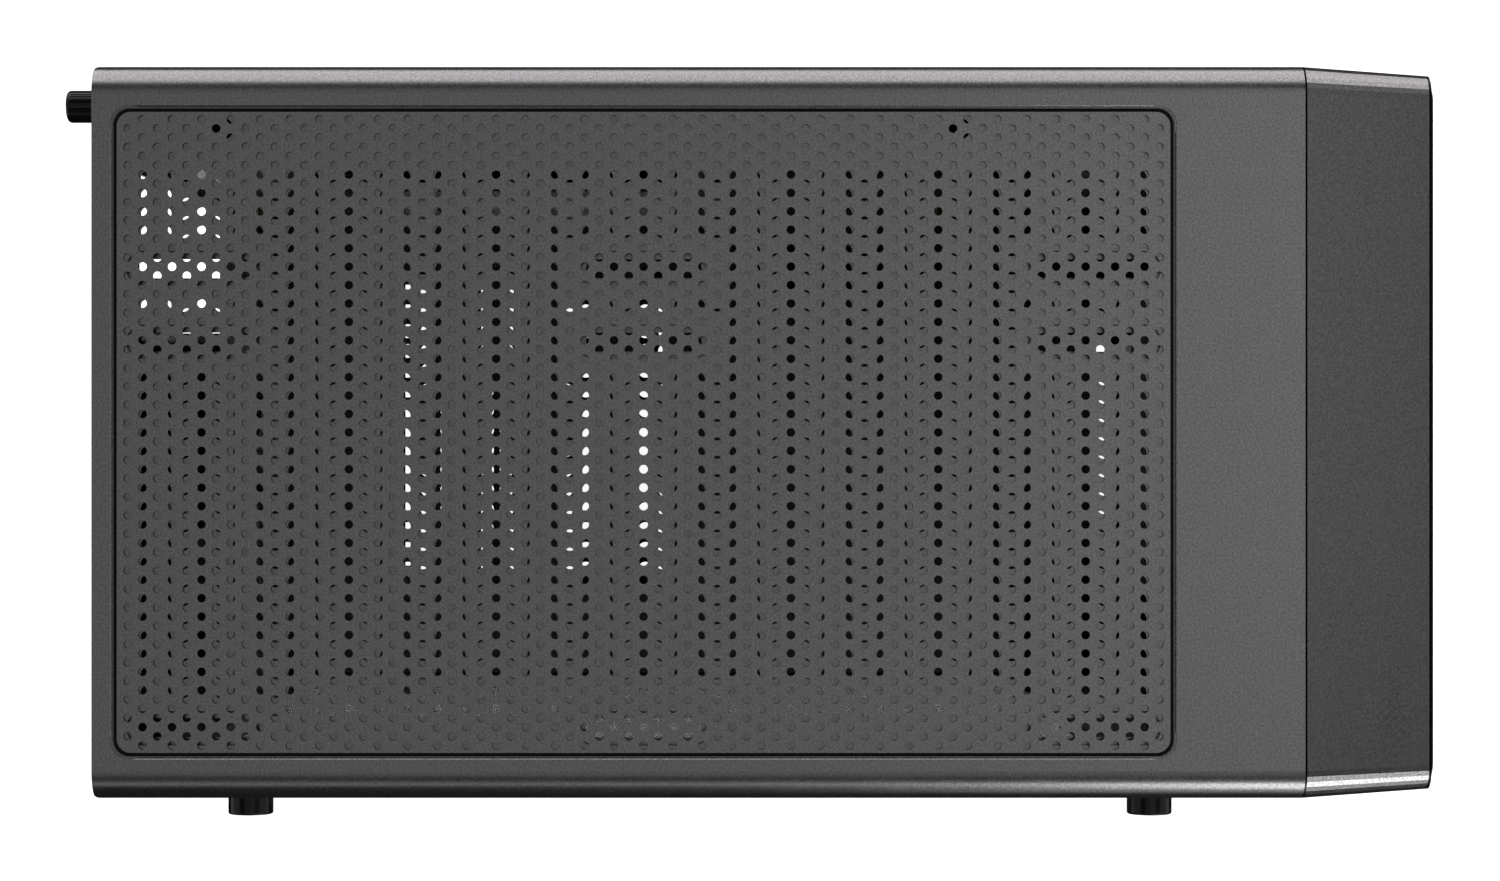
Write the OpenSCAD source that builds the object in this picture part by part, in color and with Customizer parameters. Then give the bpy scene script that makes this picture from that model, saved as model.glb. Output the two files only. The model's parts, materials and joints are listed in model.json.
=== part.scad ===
// Mid-tower computer case: steel chassis, wrapped top cover, lift-off dust filter,
// glass side panel on four thumbscrews, sliding steel side panel, pull-off front.
// Drawn with the rear edge of the top cover at y = 0 and the front towards -y.
// +x is the side of the motherboard tray, z = 0 is the floor.

/* [Overall] */
// Width over the top cover
case_w = 200; // [190:1:250]
// Height from the floor to the top cover
case_h = 480; // [470:1:580]
// Length of the chassis under the top cover, rear edge to front seam
chassis_len = 329.7; // [310:0.1:420]
// Depth of the front shell in front of the seam
front_d = 35.8; // [30:0.1:60]
// Height of the feet
foot_h = 15; // [8:1:30]

/* [Sheets] */
// Thickness of the chassis sheets
sheet = 0.8; // [0.6:0.1:1.2]
// Thickness of the top cover
cover_t = 1; // [0.8:0.1:2]
// Outer radius of the cover's long edges
cover_r = 8; // [4:0.5:12]
// Depth of the cover's side skirts
cover_skirt = 14; // [10:1:20]
// Thickness of the glass panel
glass_t = 4; // [3:0.5:5]
// Wall of the front shell
front_wall = 2.5; // [2:0.1:3]
// Air left between pieces that come apart
gap = 0.3; // [0.2:0.05:0.5]

/* [Dust filter] */
// Length of the filter sheet
filter_l = 286; // [240:1:290]
// Width of the filter sheet
filter_w = 174; // [150:1:178]
// Corner radius of the filter sheet
filter_r = 3.8; // [2:0.1:8]
// Thickness of the filter sheet
filter_t = 0.5; // [0.4:0.1:0.8]
// Distance from the rear edge of the cover to the middle of the filter
filter_mid = 149.9; // [146:0.1:160]
// Width of the dark groove between the filter and the cover
filter_groove = 1.3; // [0.8:0.1:2]
// Pitch of the real sheet's hole columns
mesh_pitch_u = 4; // [3:0.5:6]
// Pitch of the holes within a column
mesh_pitch_x = 5; // [4:0.5:8]
// Diameter of the real sheet's holes
mesh_d = 2.4; // [1.5:0.1:3]
// Real holes across one modelled hole, because the true count is over two thousand
mesh_group = 3; // [2:1:4]

/* [Top vent] */
// Pitch of the square grid of holes in the top panel
vent_pitch = 5; // [4:0.5:8]
// Diameter of those holes
vent_d = 3.4; // [2:0.1:4]
// Columns of the grid, front to rear
vent_cols = 55; // [40:1:56]
// Rows of the grid, side to side
vent_rows = 30; // [20:1:32]
// Sideways place of the middle of the grid
vent_x = -3; // [-6:0.5:6]
// Distance between the columns of fan slots
fan_slot_pitch = 122.4; // [115:0.1:125]
// Length of a slot's recess
fan_slot_l = 36.5; // [25:0.5:40]
// Width of a slot's recess
fan_slot_w = 9.4; // [8:0.1:12]
// Depth of a slot's recess
fan_slot_deep = 2.4; // [1.6:0.1:4]
// Real grid holes across one modelled hole, because the true count is over a thousand
vent_group = 2; // [2:1:4]

/* [Inside] */
// Space for cables between the steel panel and the tray's face
cable_room = 20.2; // [16:0.1:30]
// Length of the tray and of the shroud from the rear edge
tray_len = 283; // [270:1:290]
// Height of the shroud's top above the base
shroud_h = 95; // [93:1:100]
// Space between the shroud and the board's lower edge
board_gap = 4.2; // [3:0.1:8]
// Length of the standoffs
standoff_h = 6.35; // [5:0.05:8]
// Number of expansion slots
slots = 7; // [4:1:7]
// Pitch of the expansion slots
slot_pitch = 20.32; // [20.32:0.01:20.4]
// Size of the rear fan
fan = 120; // [92:1:120]
// Thickness of the rear fan
fan_t = 25; // [15:1:25]
// Number of the fan's blades
blades = 9; // [7:2:11]

/* [Screws and buttons] */
// Diameter of the glass panel's thumbscrew heads
glass_knob_d = 12.5; // [10:0.1:15]
// How far those heads stand out of the glass
glass_knob_out = 6.3; // [5:0.1:8]
// Distance of the rear pair of them from the rear edge
glass_knob_u = 39.5; // [30:0.5:50]
// Height of the upper pair below the cover's top
glass_knob_drop = 27; // [24:0.5:35]
// Diameter of the steel panel's thumbscrew heads
rear_knob_d = 9; // [8:0.1:12]
// How far those heads stand out of the rear edge
rear_knob_out = 11.4; // [8:0.1:14]
// Travel of the steel panel before its hooks come free
panel_travel = 15; // [10:1:20]
// Diameter of the power button
power_d = 14; // [10:0.5:16]
// Travel of the buttons
button_travel = 1.2; // [0.8:0.1:2]

/* [Hidden] */
$fn = 48;

// Main planes
half_w = case_w / 2;
rear_y = -1;
rear_in = rear_y - sheet;
front_y = -chassis_len;
front_in = front_y + sheet;
left_x = -(half_w - glass_t - gap);
right_x = half_w - cover_t - gap;
mid_x = (left_x + right_x) / 2;
chassis_w = right_x - left_x;
panel_x = half_w - sheet;
rail_x = panel_x - 9.2;
floor_z = foot_h + sheet;
top_z = case_h - cover_t;
ceil_z = top_z - sheet;
skirt_z = case_h - cover_skirt;
door_top = skirt_z - 0.5;
door_low = foot_h + 2;
door_len = chassis_len - gap;

// Places of the thumbscrews
knob_us = [glass_knob_u, chassis_len - glass_knob_u];
knob_high = case_h - glass_knob_drop;
knob_low = door_low + door_top - knob_high;
flange_reach = 13;
flange_high = knob_high - flange_reach;
flange_low = knob_low + flange_reach;
screw_d = 4;
screw_slip = 0.1;
screw_reach = 8;
boss_d = 8;
boss_h = 4;
bush_d = 9;
rear_knob_x = panel_x - 8.4;
rear_knob_zs = [knob_high + 1, knob_low - 1];
rear_screw_d = 3.5;

// Board, slots, power supply and fan, measured from the shroud's top
tray_x = panel_x - cable_room;
shroud_z = foot_h + shroud_h;
board_low = shroud_z + board_gap;
board_us = [for (a = [0, 154.94, 227.33]) 1 + sheet + 12.27 + a];
board_zs = [for (b = [16.51, 140.97, 298.45]) board_low + b];
io_w = 44.45;
io_h = 158.75;
io_x = tray_x - 3.95 - io_w / 2;
io_z = board_low + 142 + io_h / 2;
slot_z = board_low + 5.8;
slot_far = tray_x - 6;
slot_near = slot_far - 110.6;
slot_open_w = 16;
cover_w = 18.4;
psu_w = 150;
psu_h = 86;
psu_x = tray_x - 77;
psu_low = floor_z + 4;
psu_z = psu_low + psu_h / 2;
psu_holes = [[-69, 37], [69, 37], [69, -37], [-69, -27]];
fan_pitch = fan > 100 ? fan - 15 : fan - 9.5;
fan_x = io_x - io_w / 2 - 1.6 - fan / 2;
fan_z = io_z + io_h / 2 + 3 - fan / 2;
fan_bore = fan - 6;
shroud_x = left_x + 6;
cage_d = 104.2;
cage_h = 72;
cage_y = -tray_len + 4 + cage_d / 2;
cage_x0 = shroud_x + 20;
cage_x1 = tray_x - 1;

// Filter and vent
open_l = filter_l + 2 * filter_groove;
open_w = filter_w + 2 * filter_groove;
open_r = filter_r + 1;
lip = 0.5;
magnet_lap = 0.4;
filter_z = case_h - filter_t;
fan_slot_rows = [-80.4, 24.6, 44.6];
fan_slot_us = [for (k = [-1, 0, 1]) filter_mid + k * fan_slot_pitch];

// Front
shell_y = front_y - gap;
shell_front = front_y - front_d;
shell_taper = 1.8;
shell_drop = 8;
shell_low_rise = 3;
carrier_w = 189;
carrier_low = foot_h + 6.5;
carrier_high = case_h - 11.5;
carrier_h = carrier_high - carrier_low;
carrier_z = (carrier_low + carrier_high) / 2;
mesh_t = 1.2;
mesh_y = shell_front - 1;
mesh_back = mesh_y + mesh_t;
io_row_z = carrier_high - 12.5;
io_zone = 27;
board_y = shell_front + 13.5;
board_t = 1.6;
shelf_z = io_row_z - 9;
clip_x = 85;
clip_d = 7;
clip_zs = [carrier_low + 38, carrier_z, carrier_high - 38];
power_x = -70;
reset_x = -48;
reset_d = 6;
lens_x = -36;
lens_d = 3;
usb_xs = [-20, 4];
usb_c_x = 26;
audio_x = 44;
usb_size = [13.2, 5.8];
usb_c_size = [9, 3.3];
audio_d = 6.2;
port_front = mesh_y + 0.2;

// Puts the origin under the middle of the whole outline, screw heads included
outline_front = chassis_len + front_d + 1;
shift = [glass_knob_out / 2, (outline_front - rear_knob_out) / 2, 0];
module placed() translate(shift) children();

// Rectangle with round corners, centred
module round_rect(l, w, r) {
  square([l - 2 * r, w], center = true);
  square([l, w - 2 * r], center = true);
  for (sx = [-1, 1])
    for (sy = [-1, 1])
      translate([sx * (l / 2 - r), sy * (w / 2 - r)])
        circle(r);
}

// Slot with full-round ends, centred, long along x
module stadium(l, w) {
  square([l - w, w], center = true);
  for (s = [-1, 1])
    translate([s * (l - w) / 2, 0])
      circle(d = w);
}

// Arch outline: flat bottom, round upper corners
module arch(w, low, high, r) {
  translate([-w / 2, low])
    square([w, high - low - r]);
  translate([-w / 2 + r, low])
    square([w - 2 * r, high - low]);
  for (s = [-1, 1])
    translate([s * (w / 2 - r), high - r])
      circle(r);
}

// A drawing in (x, z) as a plate whose rear face is at y
module plate_y(y, t = sheet)
  translate([0, y, 0])
    rotate([90, 0, 0])
      linear_extrude(t)
        children();

// A drawing in (y, z) as a plate whose left face is at x
module plate_x(x, t = sheet)
  translate([x, 0, 0])
    rotate([90, 0, 90])
      linear_extrude(t)
        children();

// A drawing in (x, y) as a plate whose lower face is at z
module plate_z(z, t = sheet)
  translate([0, 0, z])
    linear_extrude(t)
      children();

// A box from one corner to the opposite one
module span(a, b)
  translate(a)
    cube(b - a);

// A rod along x or y that starts at its place and runs towards plus
module rod_x(at, d, l)
  translate(at)
    rotate([0, 90, 0])
      cylinder(d = d, h = l);

module rod_y(at, d, l)
  translate(at)
    rotate([-90, 0, 0])
      cylinder(d = d, h = l);

// Places of the four holes of a fan
module fan_corners(pitch)
  for (sx = [-1, 1])
    for (sz = [-1, 1])
      translate([sx * pitch / 2, sz * pitch / 2])
        children();

// Keyholes in a side rail, drawn in (y, z): each hook slides along the narrow part
// and leaves through the wide part
hook_us = [60, 165, 270];
hook_l = 10;
hook_lip = 4;
module keyhole(u, z, way) {
  translate([-u - hook_l / 2 - gap, way > 0 ? z - 0.6 : z - sheet - 0.6])
    square([hook_l + panel_travel + 2 * gap, sheet + 1.2]);
  translate([-u - hook_l / 2 - gap + panel_travel, way > 0 ? z - hook_lip - 1 : z - sheet - 1])
    square([hook_l + 2 * gap, sheet + hook_lip + 2]);
}

module rail(low, high, hook_z, way)
  plate_x(rail_x)
    difference() {
      translate([front_in, low])
        square([rear_in - 18 - front_in, high - low]);
      for (u = hook_us)
        keyhole(u, hook_z, way);
    }

// Boss that takes a glass thumbscrew, with its bore
module glass_boss_body(u, z)
  rod_x([left_x, -u, z], boss_d, sheet + boss_h);

module glass_boss_bore(u, z)
  rod_x([left_x - 1, -u, z], screw_d + 2 * screw_slip, sheet + boss_h + 2);

// Steel floor of the case with its left flange and right rail
psu_vent_u = 92.5;
psu_vent_cols = 14;
psu_vent_rows = 15;
psu_vent_pitch = 8;
foot_us = [26, chassis_len - 42];
foot_xs = [left_x + 24, right_x - 24];
foot_screw_d = 4;
module base_pan() color("#202124") placed() {
  plate_z(foot_h)
    difference() {
      translate([left_x, front_y])
        square([chassis_w, rear_y - front_y]);
      for (i = [0:psu_vent_cols - 1])
        for (j = [0:psu_vent_rows - 1])
          translate([psu_x + (j - (psu_vent_rows - 1) / 2) * psu_vent_pitch,
                     -psu_vent_u + (i - (psu_vent_cols - 1) / 2) * psu_vent_pitch])
            circle(d = 5.6);
      translate([1, 8.7 - chassis_len])
        stadium(72, 5);
      for (x = foot_xs)
        for (u = foot_us)
          translate([x, -u])
            circle(d = foot_screw_d + 0.4);
    }
  difference() {
    union() {
      span([left_x, front_in, floor_z], [left_x + sheet, rear_in, flange_low]);
      for (u = knob_us)
        glass_boss_body(u, knob_low);
    }
    for (u = knob_us)
      glass_boss_bore(u, knob_low);
  }
  rail(floor_z, door_low + 18, door_low + sheet, -1);
}

// Rear wall: ports, fan grille, slots, power supply and side screws
grille_pitch = 8;
module fan_grille()
  for (i = [-8:8])
    for (j = [-8:8])
      let (x = (i + (j % 2 == 0 ? 0 : 0.5)) * grille_pitch, z = j * grille_pitch * 0.866)
        if (norm([x, z]) < fan_bore / 2 - 5)
          translate([x, z])
            rotate(30)
              circle(r = grille_pitch * 0.5, $fn = 6);

module rear_panel() color("#1d1e20") placed()
  difference() {
    union() {
      plate_y(rear_y)
        difference() {
          translate([mid_x, 0])
            arch(chassis_w, floor_z, ceil_z, cover_r);
          translate([io_x, io_z])
            round_rect(io_w, io_h, 1.5);
          translate([fan_x, fan_z])
            fan_grille();
          translate([fan_x, fan_z])
            fan_corners(fan_pitch)
              circle(d = 4.6);
          for (i = [0:slots - 1])
            translate([slot_near - 0.6, slot_z + i * slot_pitch - slot_open_w / 2])
              square([slot_far - 7 - slot_near, slot_open_w]);
          translate([psu_x, psu_z]) {
            square([psu_w - 6, psu_h - 38], center = true);
            square([psu_w - 38, psu_h - 6], center = true);
            for (p = psu_holes)
              translate(p)
                circle(d = 4);
          }
          for (i = [0:14])
            translate([(left_x + slot_near) / 2 - 1, slot_z + 2 + i * 9])
              stadium(40, 4);
        }
      span([left_x, rear_in - 14, flange_low], [left_x + sheet, rear_in, flange_high]);
      span([right_x - sheet, rear_in - 14, door_low + 2.5], [right_x, rear_in, door_top - 2.5]);
      for (z = rear_knob_zs)
        rod_y([rear_knob_x, rear_in - 3, z], 7, 3 + sheet);
    }
    for (z = rear_knob_zs)
      rod_y([rear_knob_x, rear_in - 4, z], rear_screw_d + 2 * screw_slip, 6);
  }

// Wall that carries the board, with cut-outs for the cooler's plate and the cables
cable_slot_u = 265;
cable_slot_zs = [for (k = [0:2]) board_low + 46 + k * 110];
cable_slot = [20, 76];
ssd_us = [75, 185];
ssd_z = board_low + 78;
ssd_size = [100, 78];
ssd_lift = 6;
module motherboard_tray() color("#232427") placed() {
  plate_x(tray_x)
    difference() {
      translate([-tray_len, floor_z])
        square([tray_len + rear_in, ceil_z - floor_z]);
      translate([-100, board_low + 230])
        round_rect(116, 112, 8);
      for (u = [80, 190])
        translate([-u, ceil_z - 26])
          stadium(56, 18);
      for (z = cable_slot_zs)
        translate([-cable_slot_u, z])
          round_rect(cable_slot[0], cable_slot[1], 6);
      translate([-tray_len + 59, floor_z + 42])
        round_rect(98, 76, 6);
      for (u = board_us)
        for (z = board_zs)
          translate([-u, z])
            circle(d = post_stub_d + 0.1);
      for (u = ssd_us)
        translate([-u, ssd_z])
          square([12, 40], center = true);
    }
  span([tray_x, -tray_len, floor_z + 90], [tray_x + 10, -tray_len + sheet, ceil_z - 30]);
}

// Front wall with three fan places and the holes for the front's clips
front_fans = [for (k = [0:2]) floor_z + 82 + k * 122];
module front_frame() color("#1f2022") placed() {
  plate_y(front_in)
    difference() {
      translate([mid_x, 0])
        arch(chassis_w, floor_z, ceil_z, cover_r);
      for (z = front_fans)
        translate([0, z]) {
          circle(d = 114, $fn = 96);
          fan_corners(105)
            stadium(14, 4.6);
        }
      for (sx = [-1, 1])
        for (z = clip_zs)
          translate([sx * clip_x, z])
            circle(d = clip_d + 2 * screw_slip);
      translate([0, ceil_z - 34])
        stadium(90, 20);
    }
  span([left_x, front_in, flange_low], [left_x + sheet, front_in + 48, flange_high]);
  span([rail_x, front_in, door_low + 18], [rail_x + sheet, front_in + 28, door_top - 18]);
}

// One stamped cup for a fan screw, with its through slot
module slot_cup() {
  difference() {
    plate_z(ceil_z - fan_slot_deep, fan_slot_deep)
      rotate(90)
        stadium(fan_slot_l + 1.6, fan_slot_w + 1.6);
    plate_z(ceil_z - fan_slot_deep + sheet, fan_slot_deep)
      rotate(90)
        stadium(fan_slot_l, fan_slot_w);
    plate_z(ceil_z - fan_slot_deep - 1, fan_slot_deep)
      rotate(90)
        stadium(fan_slot_l - 4.9, fan_slot_w - 4.2);
  }
}

// True where a grid hole would run into one of the cups
cup_margin = vent_d * vent_group / 2 + 0.9;
function in_cup(x, u) =
  len([for (sx = fan_slot_rows)
         for (su = fan_slot_us)
           if (abs(x - sx) < fan_slot_w / 2 + cup_margin && abs(u - su) < fan_slot_l / 2 + cup_margin) 1]) > 0;

// Folded edge: a quarter bend of outer radius r and a leg down to low
module fold(x, r, low, way)
  translate([0, rear_in, 0])
    rotate([90, 0, 0])
      linear_extrude(rear_in - front_in)
        translate([x, 0])
          mirror([way > 0 ? 1 : 0, 0])
            union() {
              translate([0, low])
                square([sheet, top_z - r - low]);
              translate([r, top_z - r])
                intersection() {
                  difference() {
                    circle(r);
                    circle(r - sheet);
                  }
                  translate([-r, 0])
                    square([r, r]);
                }
            }

// Perforated roof under the filter, same finish as the cover
locating_us = [filter_mid - 114.4, filter_mid + 85.8];
module top_panel() color("#56575a") placed() {
  plate_z(ceil_z)
    difference() {
      translate([left_x + 5, front_y])
        square([rail_x + sheet - 2 - left_x - 5, rear_y - front_y]);
      for (i = [0:vent_group:vent_cols - 1])
        for (j = [0:vent_group:vent_rows - 1])
          let (x = vent_x + (j + (vent_group - vent_rows) / 2) * vent_pitch,
               u = filter_mid + (i + (vent_group - vent_cols) / 2) * vent_pitch)
            if (!in_cup(x, u))
              translate([x, -u])
                circle(d = vent_d * vent_group);
      for (x = fan_slot_rows)
        for (u = fan_slot_us)
          translate([x, -u])
            rotate(90)
              stadium(fan_slot_l, fan_slot_w);
      for (u = locating_us)
        translate([82.5, -u])
          circle(d = 6);
    }
  for (x = fan_slot_rows)
    for (u = fan_slot_us)
      translate([x, -u, 0])
        slot_cup();
  difference() {
    union() {
      fold(left_x, 5, flange_high, -1);
      for (u = knob_us)
        glass_boss_body(u, knob_high);
    }
    for (u = knob_us)
      glass_boss_bore(u, knob_high);
  }
  difference() {
    fold(rail_x + sheet, 2, door_top - 18, 1);
    translate([rail_x - 1, rear_in - 18, door_top - 20])
      cube([4, 20, ceil_z - door_top + 16]);
    translate([rail_x - 0.5, 0, 0])
      plate_x(0, 2)
        for (u = hook_us)
          keyhole(u, door_top - sheet, 1);
  }
}

// Bevel round the opening's upper rim: two ridges and a cone at each corner
module opening_bevel() {
  for (a = [0, 90])
    rotate(a)
      let (l = (a == 0 ? open_l : open_w) - 2 * open_r, w = a == 0 ? open_w : open_l)
        translate([-l / 2, 0, 0])
          rotate([90, 0, 90])
            linear_extrude(l)
              polygon([[-w / 2, -0.01], [-w / 2 - lip, lip], [-w / 2 - lip, lip + 1],
                       [w / 2 + lip, lip + 1], [w / 2 + lip, lip], [w / 2, -0.01]]);
  for (sx = [-1, 1])
    for (sy = [-1, 1])
      translate([sx * (open_l / 2 - open_r), sy * (open_w / 2 - open_r), 0]) {
        translate([0, 0, -0.01])
          cylinder(r1 = open_r, r2 = open_r + lip, h = lip + 0.01);
        cylinder(r = open_r + lip, h = lip + 1);
      }
}

// Wrapped cover with rolled long edges and the opening for the filter
module top_cover() color("#5b5c5f") placed()
  difference() {
    intersection() {
      rotate([90, 0, 0])
        linear_extrude(chassis_len)
          difference() {
            arch(case_w, skirt_z, case_h, cover_r);
            arch(case_w - 2 * cover_t, skirt_z - 1, case_h - cover_t, cover_r - cover_t);
          }
      plate_z(skirt_z - 1, cover_skirt + 2)
        translate([0, -chassis_len / 2 - 5])
          round_rect(case_w, chassis_len + 10, 1.4);
    }
    plate_z(case_h - cover_t - 1, cover_t + 2)
      translate([0, -filter_mid])
        rotate(90)
          round_rect(open_l, open_w, open_r);
    translate([0, -filter_mid, case_h - lip])
      rotate(90)
        opening_bevel();
  }

// Cover over the power supply bay, with vents above the supply
shroud_slots = [for (k = [0:3]) 55.8 + k * 28.6];
module psu_shroud() color("#1b1c1e") placed() {
  plate_z(shroud_z - sheet)
    difference() {
      translate([shroud_x, -tray_len])
        square([tray_x - shroud_x, tray_len + rear_in]);
      for (u = shroud_slots)
        translate([psu_x, -u])
          stadium(124, 14);
      for (x = [tray_x - 16])
        translate([x, -215])
          rotate(90)
            stadium(70, 16);
    }
  plate_x(shroud_x)
    difference() {
      translate([-tray_len, floor_z])
        square([tray_len + rear_in, shroud_z - sheet - floor_z]);
      for (k = [0:9])
        translate([-40 - k * 9, psu_z])
          rotate(90)
            stadium(50, 4);
    }
}

// Two-bay drive cage that stands on the floor under the shroud
module drive_cage() color("#222326") placed()
  difference() {
    union() {
      plate_x(cage_x0, cage_x1 - cage_x0)
        translate([cage_y, floor_z])
          difference() {
            union() {
              translate([-cage_d / 2, 0])
                square([cage_d, cage_h]);
              for (s = [-1, 1])
                translate([s * cage_d / 2 - (s > 0 ? 0 : 3), 0])
                  square([3, sheet]);
            }
            translate([-cage_d / 2 + sheet, -1])
              square([cage_d - 2 * sheet, cage_h - sheet + 1]);
          }
      for (s = [-1, 1])
        for (z = [cage_h * 0.47])
          translate([cage_x0, cage_y + s * (cage_d / 2 - sheet) - (s > 0 ? 4 : 0), floor_z + z])
            cube([cage_x1 - cage_x0, 4, sheet]);
    }
    for (k = [0:3])
      for (z = [0.24, 0.72])
        translate([cage_x0 + 26 + k * 32, cage_y, floor_z + cage_h * z])
          rotate([90, 0, 0])
            linear_extrude(cage_d + 10, center = true)
              stadium(20, 5);
    for (k = [0:2])
      translate([cage_x0 + 34 + k * 38, cage_y, floor_z + cage_h - 2])
        linear_extrude(4)
          round_rect(26, 76, 5);
  }

// Bent plate that holds one small drive behind the tray
module ssd_plate(u) color("#26272a") placed() {
  plate_x(tray_x + sheet + ssd_lift)
    difference() {
      translate([-u, ssd_z])
        round_rect(ssd_size[0], ssd_size[1], 3);
      for (sx = [-1, 1])
        for (sz = [-1, 1])
          translate([-u + sx * 38.3, ssd_z + sz * 30.85])
            circle(d = 3.4);
      translate([-u, ssd_z])
        round_rect(40, 34, 4);
    }
  for (s = [-1, 1])
    span([tray_x + sheet, -u - 22, ssd_z + s * (ssd_size[1] / 2 - 5) - sheet / 2],
         [tray_x + sheet + ssd_lift, -u + 22, ssd_z + s * (ssd_size[1] / 2 - 5) + sheet / 2]);
}

module ssd_plate_rear() ssd_plate(ssd_us[0]);
module ssd_plate_front() ssd_plate(ssd_us[1]);

// Nine hex posts for the board, pressed into the tray and threaded right through
post_stub_d = 4;
module standoffs() color("#b59a4c") placed()
  for (u = board_us)
    for (z = board_zs)
      translate([tray_x, -u, z])
        rotate([0, -90, 0])
          difference() {
            union() {
              cylinder(d = 5.8, h = standoff_h, $fn = 6);
              translate([0, 0, -sheet - 0.2])
                cylinder(d = post_stub_d, h = sheet + 0.4);
            }
            translate([0, 0, -sheet - 1])
              cylinder(d = 2.6, h = standoff_h + sheet + 2);
          }

// Rubber strips that the power supply stands on
module psu_pads() color("#141414") placed()
  for (u = [24, 156])
    for (s = [-1, 1])
      translate([psu_x + s * 52, -u, floor_z])
        linear_extrude(psu_low - floor_z)
          round_rect(30, 9, 2);

// One vented blank with its folded screw tab; the blanks stand in a column
module slot_cover(i) color("#2b2c2f") placed() {
  z = slot_z + i * slot_pitch;
  plate_y(rear_in)
    difference() {
      union() {
        translate([slot_near, z - cover_w / 2])
          square([slot_far - slot_near, cover_w]);
        translate([slot_far - 1, z - 5.1])
          square([6, 10.2]);
      }
      for (k = [0:4])
        for (s = [-1, 1])
          translate([slot_near + 18 + k * 18.5, z + s * 3.4])
            stadium(14, 3);
    }
  difference() {
    span([slot_near, rear_in - sheet, z - 7.7], [slot_near + sheet, 9, z + 7.7]);
    rod_x([slot_near - 1, 4.6, z + 1], 4.4, 3);
    span([slot_near - 1, 2.4, z + 1], [slot_near + 2, 6.8, z + 10]);
  }
}

// Rail outside the rear wall that the blanks' tabs are screwed to
ledge_low = slot_z - slot_pitch / 2 - 1;
ledge_high = slot_z + (slots - 0.5) * slot_pitch + 1;
module slot_ledge() color("#1d1e20") placed()
  difference() {
    union() {
      span([slot_near + sheet, rear_y, ledge_low], [slot_near + 2 * sheet, 9.4, ledge_high]);
      for (z = [ledge_low, ledge_high - sheet])
        translate([slot_near + sheet, rear_y, z])
          linear_extrude(sheet)
            polygon([[0, 0], [16, 0], [16, 1], [sheet, 10.4], [0, 10.4]]);
    }
    for (i = [0:slots - 1])
      rod_x([slot_near, 4.6, slot_z + i * slot_pitch + 1], 3.7, 3);
  }

module slot_screws() color("#8d8f93") placed()
  for (i = [0:slots - 1])
    translate([slot_near, 4.6, slot_z + i * slot_pitch + 1])
      rotate([0, 90, 0]) {
        cylinder(d = 3.5, h = 6);
        translate([0, 0, -1])
          cylinder(d = 8, h = 1);
        difference() {
          translate([0, 0, -2.8])
            cylinder(d = 6, h = 2, $fn = 6);
          translate([0, 0, -3])
            cube([4, 0.9, 1.8], center = true);
        }
      }

// Rear fan: square frame with struts and a hub seat, and a bladed rotor
fan_rear = rear_in;
hub_d = 40;
spindle_d = 3;
module fan_frame() color("#18191a") placed()
  translate([fan_x, fan_rear, fan_z])
    rotate([90, 0, 0]) {
      difference() {
        linear_extrude(fan_t)
          difference() {
            round_rect(fan, fan, 7);
            circle(d = fan_bore, $fn = 96);
            fan_corners(fan_pitch)
              circle(d = 4.3);
          }
        for (a = [0, 90, 180, 270])
          rotate(a)
            translate([fan / 2 - 2, 0, fan_t / 2])
              cube([5, fan - 36, fan_t - 8], center = true);
      }
      linear_extrude(3)
        difference() {
          union() {
            circle(d = hub_d + 4);
            for (a = [20:90:290])
              rotate(a)
                translate([hub_d / 2, -2])
                  square([fan_bore / 2 - hub_d / 2 + 0.6, 4]);
          }
          circle(d = spindle_d + 0.1);
        }
    }

module fan_rotor() color("#1c1d1e") placed()
  translate([fan_x, fan_rear - 3 - gap, fan_z])
    rotate([90, 0, 0]) {
      difference() {
        cylinder(d = hub_d, h = fan_t - 4.5);
        translate([0, 0, -1])
          cylinder(d = hub_d - 4, h = fan_t - 6);
      }
      cylinder(d = 8, h = fan_t - 6);
      translate([0, 0, -2.8])
        cylinder(d = spindle_d, h = 4);
      for (i = [0:blades - 1])
        rotate(i * 360 / blades)
          fan_blade();
    }

// A cambered blade: an arc section run outwards and trimmed to the sweep circle
module fan_blade()
  intersection() {
    translate([hub_d / 2 - 1.5, 0, (fan_t - 5) / 2])
      rotate([90, 0, 90])
        linear_extrude(fan_bore / 2 - hub_d / 2 + 3)
          translate([-21, -13])
            rotate(4)
              intersection() {
                difference() {
                  circle(r = 32);
                  circle(r = 30.4);
                }
                polygon([[0, 0], [52, 10], [38, 43]]);
              }
    cylinder(d = fan_bore - 3, h = fan_t - 5);
  }

module fan_screws() color("#2c2d2f") placed()
  translate([fan_x, 0, fan_z])
    for (sx = [-1, 1])
      for (sz = [-1, 1])
        translate([sx * fan_pitch / 2, 0, sz * fan_pitch / 2]) {
          rod_y([0, rear_in - 9, 0], 4.1, 9 + sheet);
          rod_y([0, rear_y, 0], 7.6, 1.2);
        }

// Lift-off filter: a perforated sheet with a magnetic strip round its edge
module dust_filter() color("#5b5c5f") placed()
  plate_z(filter_z, filter_t)
    translate([0, -filter_mid])
      difference() {
        rotate(90)
          round_rect(filter_l, filter_w, filter_r);
        for (i = [-floor(35 / mesh_group):floor(35 / mesh_group)])
          for (j = [0:floor(34 / mesh_group) - (i % 2 == 0 ? 0 : 1)])
            translate([(j - (floor(34 / mesh_group) - (i % 2 == 0 ? 0 : 1)) / 2)
                       * mesh_pitch_x * mesh_group,
                       i * mesh_pitch_u * mesh_group])
              circle(d = mesh_d * mesh_group);
      }

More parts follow.
